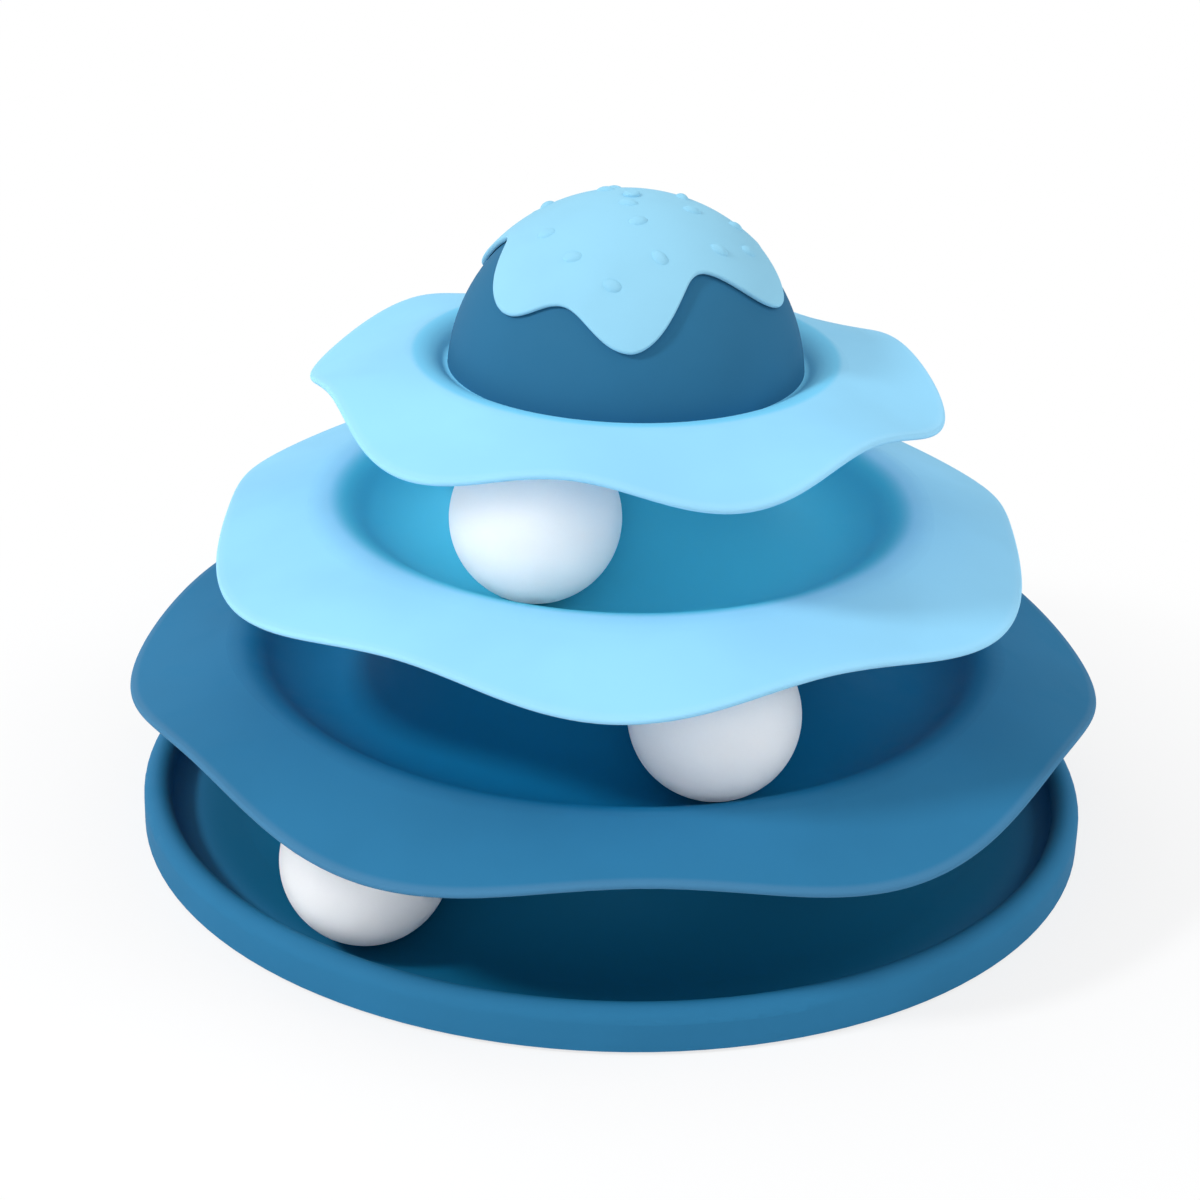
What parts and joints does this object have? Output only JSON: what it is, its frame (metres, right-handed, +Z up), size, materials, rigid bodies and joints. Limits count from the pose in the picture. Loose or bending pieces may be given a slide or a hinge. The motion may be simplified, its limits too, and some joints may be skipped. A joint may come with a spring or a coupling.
{
  "type": "cat ball track toy",
  "caption": "Tower of wavy-edged round tiers on a tray, each with a groove where a captive ball rolls, under a dome with a dripping icing cap.",
  "frame": {"origin": "on the ground under the middle of the tray", "axes": "+Z up along the stack's axis; the front of the picture faces -Y, and +X is to its right"},
  "size_m": [0.2448, 0.24, 0.163],
  "materials": {
    "dark_blue_plastic": "satin moulded polypropylene",
    "light_blue_plastic": "satin moulded polypropylene",
    "white_ball": "smooth matte hollow ball",
    "pad_rubber": "matte non-slip rubber"
  },
  "bodies": {
    "tray": {"base_tray": "dark_blue_plastic", "foot_pads": "pad_rubber"},
    "lower_tier": {"lower_tier": "dark_blue_plastic"},
    "middle_tier": {"middle_tier": "light_blue_plastic"},
    "top": {"top_tier": "light_blue_plastic", "dome": "dark_blue_plastic", "icing_cap": "light_blue_plastic"},
    "lower_ball": {"lower_ball": "white_ball"},
    "middle_ball": {"middle_ball": "white_ball"},
    "upper_ball": {"upper_ball": "white_ball"}
  },
  "joints": [
    {"name": "lower_tier_lift", "type": "slide", "parent": "tray", "child": "lower_tier", "axis": [0, 0, 1], "range_m": [0, 0.05]},
    {"name": "middle_tier_lift", "type": "slide", "parent": "lower_tier", "child": "middle_tier", "axis": [0, 0, 1], "range_m": [0, 0.05]},
    {"name": "top_tier_lift", "type": "slide", "parent": "middle_tier", "child": "top", "axis": [0, 0, 1], "range_m": [0, 0.05]},
    {"name": "lower_ball_roll", "type": "hinge", "parent": "tray", "child": "lower_ball", "pos_m": [0, 0, 0.02285], "axis": [0, 0, 1], "continuous": true},
    {"name": "middle_ball_roll", "type": "hinge", "parent": "lower_tier", "child": "middle_ball", "pos_m": [0, 0, 0.06065], "axis": [0, 0, 1], "continuous": true},
    {"name": "upper_ball_roll", "type": "hinge", "parent": "middle_tier", "child": "upper_ball", "pos_m": [0, 0, 0.09845], "axis": [0, 0, 1], "continuous": true}
  ]
}
